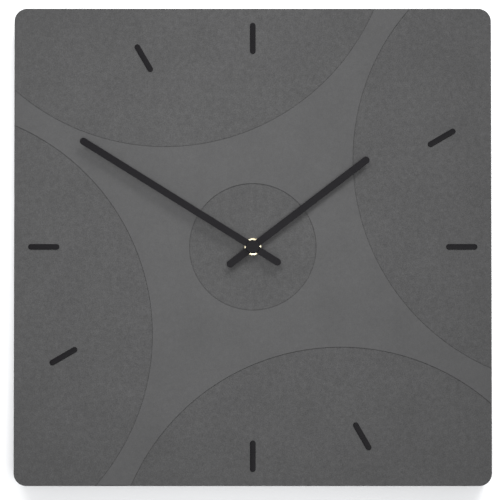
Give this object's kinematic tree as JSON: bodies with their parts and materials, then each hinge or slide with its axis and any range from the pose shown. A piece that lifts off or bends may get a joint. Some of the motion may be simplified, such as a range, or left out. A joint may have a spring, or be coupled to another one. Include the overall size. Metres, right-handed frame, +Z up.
{
  "type": "wall clock",
  "caption": "Square fibreboard wall clock with inlaid hour bars, two straight hands and a battery quartz movement let into its back.",
  "frame": {"origin": "the point of the wall straight behind the axis of the hands, in the plane of the board's rear face", "axes": "+X to the right seen from the front, +Y into the wall, +Z up to 12 o'clock; the dial faces -Y and the hands turn about Y"},
  "size_m": [0.3, 0.025, 0.3],
  "materials": {
    "dyed_mdf": "matt through-dyed fibreboard with fine light fibres",
    "black_inlay": "satin black inlay",
    "black_hand": "satin black lacquer on sheet",
    "brass": "turned and polished",
    "black_rubber": "moulded",
    "zinc_steel": "bright zinc plate",
    "black_case": "fine moulded texture",
    "grey_plate": "moulded",
    "cell_sleeve": "plain printed sleeve on a metal can",
    "nickel_strip": "nickel plate",
    "circuit_laminate": "solder mask",
    "black_epoxy": "potting resin",
    "soft_iron": "stamped sheet",
    "copper_wire": "enamelled copper winding",
    "black_magnet": "sintered magnet",
    "white_gear": "moulded acetal"
  },
  "bodies": {
    "clock": {"face_board": "dyed_mdf", "hour_bar_12": "black_inlay", "hour_bar_2": "black_inlay", "hour_bar_3": "black_inlay", "hour_bar_5": "black_inlay", "hour_bar_6": "black_inlay", "hour_bar_8": "black_inlay", "hour_bar_9": "black_inlay", "hour_bar_11": "black_inlay", "ring_nut": "brass", "threaded_bushing": "brass", "rubber_washer": "black_rubber", "hanger_plate": "zinc_steel", "hanger_screws": "zinc_steel", "case_front": "black_case", "case_rear": "black_case", "mid_plate": "grey_plate", "battery_cell": "cell_sleeve", "contact_positive": "nickel_strip", "contact_negative": "nickel_strip", "circuit_board": "circuit_laminate", "quartz_crystal": "nickel_strip", "timing_chip": "black_epoxy", "stator": "soft_iron", "coil_core": "soft_iron", "coil_bobbin": "grey_plate", "coil_winding": "copper_wire"},
    "minute_hand": {"minute_hand": "black_hand", "minute_hand_bush": "brass", "minute_hand_cap": "black_hand", "minute_arbor": "brass"},
    "hour_hand": {"hour_hand": "black_hand", "hour_hand_bush": "brass", "hour_wheel": "white_gear"},
    "motion_wheel": {"motion_wheel": "white_gear"},
    "setting_knob": {"setting_stem": "white_gear", "setting_knob": "black_case"},
    "rotor": {"rotor_magnet": "black_magnet", "rotor_pinion": "white_gear"},
    "step_wheel": {"step_wheel": "white_gear"},
    "second_wheel": {"second_wheel": "white_gear"},
    "third_wheel": {"third_wheel": "white_gear"},
    "centre_wheel": {"centre_wheel": "white_gear"}
  },
  "joints": [
    {"name": "minute_hand_turn", "type": "hinge", "parent": "clock", "child": "minute_hand", "pos_m": [0, 0, 0], "axis": [0, 1, 0], "continuous": true},
    {"name": "hour_hand_turn", "type": "hinge", "parent": "clock", "child": "hour_hand", "pos_m": [0, 0, 0], "axis": [0, 1, 0], "continuous": true},
    {"name": "motion_wheel_turn", "type": "hinge", "parent": "clock", "child": "motion_wheel", "pos_m": [0.00865, 0, 0.00315], "axis": [0, 1, 0], "continuous": true},
    {"name": "setting_knob_turn", "type": "hinge", "parent": "clock", "child": "setting_knob", "pos_m": [0.01741, 0, 0.00821], "axis": [0, 1, 0], "continuous": true},
    {"name": "rotor_turn", "type": "hinge", "parent": "clock", "child": "rotor", "pos_m": [-0.00343, 0, 0.01371], "axis": [0, 1, 0], "continuous": true},
    {"name": "step_wheel_turn", "type": "hinge", "parent": "clock", "child": "step_wheel", "pos_m": [0.00217, 0, 0.00811], "axis": [0, 1, 0], "continuous": true},
    {"name": "second_wheel_turn", "type": "hinge", "parent": "clock", "child": "second_wheel", "pos_m": [0, 0, 0], "axis": [0, 1, 0], "continuous": true},
    {"name": "third_wheel_turn", "type": "hinge", "parent": "clock", "child": "third_wheel", "pos_m": [-0.00835, 0, 0.00224], "axis": [0, 1, 0], "continuous": true},
    {"name": "centre_wheel_turn", "type": "hinge", "parent": "clock", "child": "centre_wheel", "pos_m": [0, 0, 0], "axis": [0, 1, 0], "continuous": true}
  ],
  "couplings": [
    {"joint": "motion_wheel_turn", "follows": "minute_hand_turn", "ratio": -0.25},
    {"joint": "hour_hand_turn", "follows": "minute_hand_turn", "ratio": 0.083333},
    {"joint": "setting_knob_turn", "follows": "minute_hand_turn", "ratio": 0.66667},
    {"joint": "step_wheel_turn", "follows": "rotor_turn", "ratio": -0.2},
    {"joint": "second_wheel_turn", "follows": "rotor_turn", "ratio": 0.033333},
    {"joint": "third_wheel_turn", "follows": "rotor_turn", "ratio": -0.0044444},
    {"joint": "centre_wheel_turn", "follows": "rotor_turn", "ratio": 0.00055556}
  ]
}
